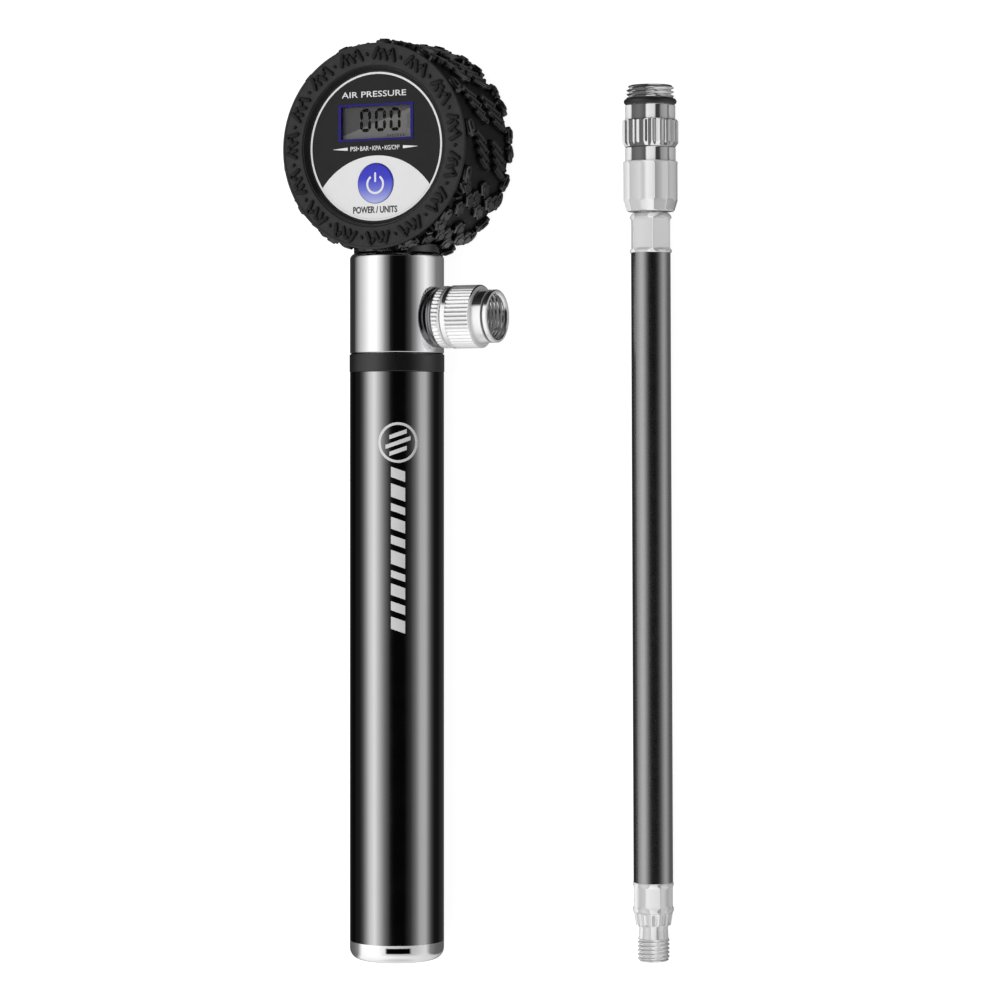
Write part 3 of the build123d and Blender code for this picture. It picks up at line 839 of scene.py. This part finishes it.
def block_cluster(gather, angle, chance):
    """Blocky knobs with stepped sides, two and two, each with a smaller block on top."""
    place_point = on_tread(angle)
    block = [(-2.5, -1.8), (1.1, -1.8), (1.3, -0.5), (2.6, -0.4), (2.6, 1.8), (-0.9, 1.8), (-1.1, 0.5),
             (-2.5, 0.4)]
    # size, ease of the corners, rise and inset of the block and of the smaller one
    steps = ((1.08, 0.5, 0.86, 0.3), (0.62, 0.3, 1.04, 0.2))
    for row in range(4):
        height = 4.3 + row * 5.2
        for side in (-1, 1):
            turn = SLANT * 0.6 + chance.uniform(-0.12, 0.12)
            shift = side * 1.75 * (1 if row % 2 else -1) + side * 1.3
            for size, ease, rise, inset in steps:
                sized = [(x * size, y * size) for x, y in block]
                outline = eased(turned(sized, turn, (shift, height + side * 1.2)), ease, 2)
                gather.add(raised(outline, place_point, LUG_HEIGHT * rise, inset))
        notch = capsule(2.0, 0.7, -SLANT, (0.1, height + 2.6))
        gather.add(raised(notch, place_point, LUG_HEIGHT * 0.8, 0.15))


def shoulder_knobs(gather, angle, chance):
    """Rounded knobs with a ridge on top at both edges of the tread, more of them at the back."""
    between = TAU / TREAD_CELLS / 2
    for height, lean, beside in ((22.4, 0.25, between), (2.2, -0.25, between), (2.3, 0.4, 0.03)):
        place_point = on_tread(angle + beside + lean / TREAD_R)
        knob = capsule(5.0, 2.8, lean + chance.uniform(-0.1, 0.1), (0, height), 5)
        gather.add(raised(knob, place_point, LUG_HEIGHT * 0.85, 0.35))
        ridge = capsule(3.0, 1.4, lean, (0.2, height), 5)
        gather.add(raised(ridge, place_point, LUG_HEIGHT + 0.1, 0.3, 0.1))


def sidewall_marks(gather, angle, slot):
    """A generic zigzag of slanting strokes, with a dot before the next group."""
    middle_r = (SIDEWALL_R + corner("bezel_ring", 1, 0)) / 2 - 0.9
    place_point = on_sidewall(angle, middle_r)
    # place along and outwards, length, and slant in degrees
    strokes = [(-2.75, 0.1, 3.9, 66), (-1.6, 0.65, 2.1, -48), (-0.55, -0.5, 2.7, 62),
               (0.55, 0.85, 1.6, -25), (1.25, -0.55, 2.3, 74), (2.4, 0.2, 3.7, -64)]
    for along, outwards, length, lean in strokes:
        outline = capsule(length, 1.05, math.radians(lean), (along, outwards))
        gather.add(raised(outline, place_point, 0.42, 0.14, 0.1, 0.85), slot)
    gap = TAU / MARKS * middle_r / 2
    gather.add(raised(capsule(1.15, 0.75, math.radians(50), (gap, 0), 4), place_point, 0.4, 0.14, 0.1), slot)


def cleared_of_head(point):
    """Keeps the tread out of the pump's head."""
    x, y, z = point
    clear_y = HEAD_TOP + 0.12
    beside_head = math.hypot(x, z - AXIS_Z) < PUMP_R + 0.3
    return (x, clear_y, z) if y < clear_y and beside_head else point


def make_tyre():
    chance = random.Random(7)
    gather = Gather()
    edge_r = SIDEWALL_R
    bead_r = TREAD_R - 6.57
    pocket_r, pocket_low, pocket_high = 24.02, 2.4, 23.3     # room for the gauge's housing
    lip_r, back_z = 22.76, 0.62
    back_r = CARCASS_R + FULLER_BACK
    section = eased([
        (bead_r, pocket_high, 0), (bead_r, FRONT_Z, 0.35), (22.0, FRONT_Z - 0.02, 0.5),
        (edge_r - 0.75, FRONT_Z - 0.02, 0.1), (edge_r - 0.6, FRONT_Z + 0.12, 0.1),
        (edge_r - 0.1, FRONT_Z + 0.1, 0.2), (edge_r, FRONT_Z - 0.6, 0.2), (edge_r - 0.9, FRONT_Z - 1.3, 0.3),
        (CARCASS_R - 0.3, 22.6, 0.6), (CARCASS_R, 21.0, 0.8), (CARCASS_R, 9.0, 0.8), (back_r, 3.0, 0.8),
        (back_r - 0.3, 1.2, 0.4), (25.0, back_z, 0.4), (lip_r, back_z, 0.1), (lip_r, pocket_low, 0),
        (pocket_r, pocket_low, 0), (pocket_r, pocket_high, 0)], 0.2, 4)
    sidewall, marks, valley = 1, 2, 3        # places in the list of rubbers below
    verts, faces = lathe(section, GAUGE, 240)
    gather.add((verts, faces))
    front = FRONT_Z - 0.5
    for index, face in enumerate(faces):
        middle = sum((verts[i][2] for i in face), 0.0) / len(face)
        gather.slots[index] = sidewall if middle > front else valley
    for cell in range(TREAD_CELLS):
        angle = TAU * (cell - 0.2) / TREAD_CELLS
        if math.sin(angle) > -0.12:
            bar_cluster(gather, angle, chance)
        else:
            block_cluster(gather, angle, chance)
        shoulder_knobs(gather, angle, chance)
    for group in range(MARKS):
        sidewall_marks(gather, TAU * (group + 0.42) / MARKS, marks)
    inner, outer = -TREAD_R + 2.5, HEAD_TOP + 0.05
    skirt = [(NECK_R, inner), (PUMP_R - 1.0, inner), (PUMP_R - 1.0, outer), (NECK_R, outer)]
    gather.add(lathe(skirt, PUMP, 96))
    verts = [cleared_of_head(vert) for vert in gather.verts]
    rubbers = [TREAD_RUBBER, SIDEWALL_RUBBER, MARK_RUBBER, VALLEY_RUBBER]
    made = piece("tyre_with_tread", verts, gather.faces, rubbers, "pump_body", ["tyre_sleeve"],
                 gather.slots, 42)


make_tyre()


# ---- prints on the dial ----
PRINT_RISE = 0.04
INK_RISE = 0.02


def prism(outline, low, high):
    """Flat plate from an outline of (x, y) points."""
    verts = [(x, y, level) for level in (low, high) for x, y in outline]
    return verts, ring_faces(2, len(outline))


def lower_field():
    """Pale field under an arch, with a hole for the button."""
    field_r = 18.3
    arch_r = 19.0
    arch_y = -21.3
    hole_r = 5.15
    steps = 240

    def edge(angle):
        direction = Vector((math.cos(angle), math.sin(angle)))
        reach = []
        for centre_y, radius in ((0.0, field_r), (arch_y, arch_r)):
            start = Vector((0, BUTTON_Y - centre_y))
            along = start.dot(direction)
            reach.append(-along + math.sqrt(along ** 2 - start.length_squared + radius ** 2))
        return Vector((0, BUTTON_Y)) + direction * min(reach)

    hole = round_points(hole_r, (0, BUTTON_Y), steps, steps)
    rim = [edge(TAU * step / steps) for step in range(steps)]
    low, high = DIAL_Z, DIAL_Z + PRINT_RISE
    rings = ((hole, low), (rim, low), (rim, high), (hole, high))
    verts = [(x, y, level) for ring, level in rings for x, y in ring]
    return verts, ring_faces(len(rings), steps, True)


def lettering(name, words, width, height, centre, material, z, weight=0.012):
    """Generic wording as a thin mesh print, fitted to a width and height."""
    curve = bpy.data.curves.new(name, "FONT")
    curve.body = words
    curve.extrude = 0.01
    curve.offset = weight
    curve.resolution_u = 3
    holder = new_object(name + "_curve", curve)
    bpy.context.view_layer.update()
    mesh = bpy.data.meshes.new_from_object(holder)
    bpy.data.objects.remove(holder)
    points = [vertex.co for vertex in mesh.vertices]
    low_x, high_x = min(p.x for p in points), max(p.x for p in points)
    low_y, high_y = min(p.y for p in points), max(p.y for p in points)
    across, upward = width / (high_x - low_x), height / (high_y - low_y)
    verts = [((p.x - (high_x + low_x) / 2) * across + centre[0],
              (p.y - (high_y + low_y) / 2) * upward + centre[1],
              z + PRINT_RISE if p.z > 0 else z) for p in points]
    faces = [tuple(face.vertices) for face in mesh.polygons]
    return piece(name, verts, faces, [material], "pump_body")


def make_dial_prints():
    white = Gather()
    low, high = DIAL_Z, DIAL_Z + PRINT_RISE
    inner_r, outer_r = 18.27, 18.77
    rim = [(inner_r, low), (outer_r, low), (outer_r, high), (inner_r, high)]
    white.add(lathe(rim, GAUGE, 160))
    white.add(lower_field())
    unit_y = -0.4
    for side in (-1, 1):
        tip, root = side * 12.0 - 0.15, side * 7.9 - 0.15
        wedge = [(tip, unit_y - 0.04), (root, unit_y - 0.4), (root, unit_y + 0.4), (tip, unit_y + 0.04)]
        if side > 0:
            wedge.reverse()
        white.add(prism(wedge, low, high))
    for place in (-5.0, -1.5, 2.0):
        white.add(prism(round_points(0.2, (place, unit_y), 12, 12), low, high))
    piece("dial_print_white", white.verts, white.faces, [PRINT_WHITE], "pump_body")
    lettering("dial_title", "AIR PRESSURE", 18.4, 1.5, (-0.55, 13.25), PRINT_WHITE, DIAL_Z, 0.006)
    units = (("psi", "PSI", 1.9, -6.3), ("bar", "BAR", 2.5, -3.2), ("kpa", "KPA", 2.5, 0.3),
             ("kgcm", "KG/CM²", 4.2, 4.65))
    for name, word, width, middle in units:
        lettering("unit_" + name, word, width, 1.15, (middle, unit_y), PRINT_WHITE, DIAL_Z)
    lettering("button_caption", "POWER / UNITS", 12.6, 1.75, (-0.15, -15.95), PRINT_BLACK,
              DIAL_Z + PRINT_RISE, 0.03)


make_dial_prints()


def make_button_icon():
    """Power symbol: an open ring and a short bar."""
    low, high = BUTTON_TOP - 0.02, BUTTON_TOP + PRINT_RISE
    middle_r, half_width = 2.25, 0.28
    opening = math.radians(34)
    centre_y = BUTTON_Y - 0.25
    outline = []
    steps = 40
    there, back = range(steps + 1), range(steps, -1, -1)
    for radius, order in ((middle_r + half_width, there), (middle_r - half_width, back)):
        for step in order:
            angle = math.pi / 2 + opening + (TAU - 2 * opening) * step / steps
            outline.append((radius * math.cos(angle), centre_y + radius * math.sin(angle)))
    icon = Gather()
    icon.add(prism(outline, low, high))
    bar = capsule(2.5, 0.52, math.pi / 2, (0, centre_y + 1.75), 5)
    icon.add(prism(bar, low, high))
    piece("button_icon", icon.verts, icon.faces, [PRINT_WHITE], "power_button")


make_button_icon()


def zero_digit(gather, centre_x, base_y):
    """A seven-segment zero: two bars across and four upright, all with pointed ends."""
    width, height = 2.3, 5.9
    half, gap = 0.425, 0.1         # half a bar's thickness, and the gap at its ends
    low, middle, high = base_y + half, base_y + height / 2, base_y + height - half
    left, right = centre_x - width / 2, centre_x + width / 2

    def across(y):
        start, end = left + gap, right - gap
        return [(start, y), (start + half, y - half), (end - half, y - half), (end, y),
                (end - half, y + half), (start + half, y + half)]

    def upright(x, bottom, top):
        start, end = bottom + gap, top - gap
        return [(x, start), (x + half, start + half), (x + half, end - half), (x, end),
                (x - half, end - half), (x - half, start + half)]

    for bar in (across(high), upright(right, middle, high), upright(right, low, middle),
                across(low), upright(left, low, middle), upright(left, middle, high)):
        gather.add(prism(bar, LCD_Z, LCD_Z + INK_RISE))


def make_lcd_marks():
    ink = Gather()
    for centre_x in (-3.5, 0.75, 4.95):
        zero_digit(ink, centre_x, LCD_Y - 2.3)
    piece("lcd_digits", ink.verts, ink.faces, [LCD_INK], "pump_body")
    faint = Gather()
    left, right, thick = 8.3, 9.2, 0.24
    for row in range(7):
        y = LCD_Y + 2.0 - row * 0.62
        lean = 0.55 - row * 0.09
        tick = [(left, y - lean), (right, y), (right, y + thick), (left, y + thick - lean)]
        faint.add(prism(tick, LCD_Z, LCD_Z + INK_RISE))
    low, high, width = LCD_Y - 3.75, LCD_Y - 3.05, 0.45
    for column in range(7):
        x = 2.6 + column * 0.75
        tick = [(x, low), (x + width, low), (x + width, high), (x, high)]
        faint.add(prism(tick, LCD_Z, LCD_Z + INK_RISE))
    piece("lcd_small_marks", faint.verts, faint.faces, [LCD_FAINT], "pump_body")


make_lcd_marks()


# ---- silver print on the handle: a generic badge and a column of slanting stripes ----
PRINT_TURN = math.radians(29)            # from straight up towards the port's side
BADGE_Y = -74.7
STRIPES_HIGH = -81.4
STRIPES_LOW = -122.2


def strip_on_handle(gather, left, right):
    """Thin plate between two edges, each a list of (around, along) points of equal number."""
    low_r, high_r = PUMP_R - 0.02, PUMP_R + 0.03
    verts = []
    for pair in zip(left, right):
        for side, radius in ((0, low_r), (1, low_r), (1, high_r), (0, high_r)):
            around, along = pair[side]
            angle = PRINT_TURN + around / PUMP_R
            verts.append((radius * math.sin(angle), along, AXIS_Z + radius * math.cos(angle)))
    gather.add((verts, ring_faces(len(left), 4)))


def slanted_stripe(gather, middle, width, height, lean):
    """One stripe across the column: a slanting band with straight ends."""
    steps = 8
    arounds = [-width / 2 + width * step / steps for step in range(steps + 1)]
    low, high = ([(around, middle + around * lean + side * height / 2) for around in arounds]
                 for side in (-1, 1))
    strip_on_handle(gather, low, high)


def make_handle_print():
    print_pieces = Gather()
    outer_r, inner_r = 5.1, 4.45
    steps = 72
    edges = (round_points(r, (0, BADGE_Y), steps, steps + 1) for r in (inner_r, outer_r))
    strip_on_handle(print_pieces, *edges)
    for offset, half in ((-2.1, 2.2), (0.0, 3.2), (2.1, 2.2)):
        slanted_stripe(print_pieces, BADGE_Y + offset, half * 2, 1.05, 0.35)
    stripe_heights = (2.6, 3.4, 1.9, 3.0, 2.2, 3.5, 1.8, 2.9, 2.3, 3.1)
    gap = (STRIPES_HIGH - STRIPES_LOW - sum(stripe_heights)) / (len(stripe_heights) - 1)
    along = STRIPES_HIGH
    for height in stripe_heights:
        slanted_stripe(print_pieces, along - height / 2, 3.6, height, -0.35)
        along -= height + gap
    piece("handle_print", print_pieces.verts, print_pieces.faces, [PRINT_SILVER], "handle")


make_handle_print()


# ---- studio ----
def make_floor():
    half = 6.0
    corners = [(x * half, y * half, 0) for x, y in ((-1, -1), (1, -1), (1, 1), (-1, 1))]
    mesh = bpy.data.meshes.new("floor")
    mesh.from_pydata(corners, [], [(0, 1, 2, 3)])
    material, shader = principled("floor_pale", Roughness=0.9, Specular_IOR_Level=0.1,
                                  Emission_Color=grey(1.0), Emission_Strength=0.93)
    fill(material, shader, Base_Color=ramp(material, noise(material, 400.0), (0.3, 0.20), (0.7, 0.22)))
    mesh.materials.append(material)
    floor = new_object("floor", mesh)
    floor.visible_glossy = False
    floor.visible_diffuse = False


def make_world():
    """Studio of two long soft lights beside the pump, dark between them and below."""
    world = bpy.data.worlds.new("studio")
    bpy.context.scene.world = world
    world.use_nodes = True
    world.node_tree.nodes.clear()
    way = parts_of(world, node(world, "ShaderNodeTexCoord").outputs["Generated"])
    turn = calculated(world, "ARCTAN2", way["X"], way["Z"])
    peak = 1.4
    # degrees from straight up towards the port's side, and brightness
    profile = [(-180, 0.16), (-150, 0.08), (-118, 0.03), (-100, 0.035), (-76, 0.55), (-58, 0.85), (-42, 1.2),
               (-27, 1.25), (-14, 0.80), (-1, 0.28), (12, 0.015), (20, 0.003), (45, 0.003), (49, 0.01),
               (61, 0.06), (74, 0.28), (88, 0.68), (103, 1.0), (120, 0.62), (139, 0.22), (171, 0.17),
               (180, 0.16)]
    stops = [((degrees + 180) / 360, level / peak) for degrees, level in profile]
    glow = ramp(world, spread(world, turn, -math.pi, math.pi), *stops)
    # pale below the handle, with a dark middle, and dark beyond the gauge
    for start, end, level in ((-0.40, -0.65, 0.66), (-0.90, -0.97, 0.08), (0.45, 0.75, 0.05)):
        beyond = spread(world, way["Y"], start, end, 0.0, 0.85)
        glow = node(world, "ShaderNodeMixRGB", Fac=beyond, Color1=glow, Color2=grey(level)).outputs["Color"]
    studio = node(world, "ShaderNodeBackground", Color=glow, Strength=peak)
    white = node(world, "ShaderNodeBackground", Color=grey(1))
    ray = node(world, "ShaderNodeLightPath")
    mix = node(world, "ShaderNodeMixShader", Fac=ray.outputs["Is Camera Ray"])
    put(world, mix.inputs[1], studio.outputs["Background"])
    put(world, mix.inputs[2], white.outputs["Background"])
    node(world, "ShaderNodeOutputWorld", Surface=mix.outputs["Shader"])


def area_light(name, place, size, watts):
    data = bpy.data.lights.new(name, "AREA")
    data.shape = "RECTANGLE"
    data.size, data.size_y = size
    data.energy = watts
    lamp = new_object(name, data)
    lamp.location = place
    lamp.rotation_euler = (-Vector(place)).to_track_quat("-Z", "Y").to_euler()
    lamp.visible_glossy = False


def make_lights():
    area_light("overhead", (0.1, 0.0, 2.2), (2.6, 2.6), 31.0)
    area_light("left_fill", (-1.5, 0.3, 1.2), (1.2, 1.8), 8.0)


make_floor()
make_world()
make_lights()
bpy.context.scene.view_settings.view_transform = "Standard"
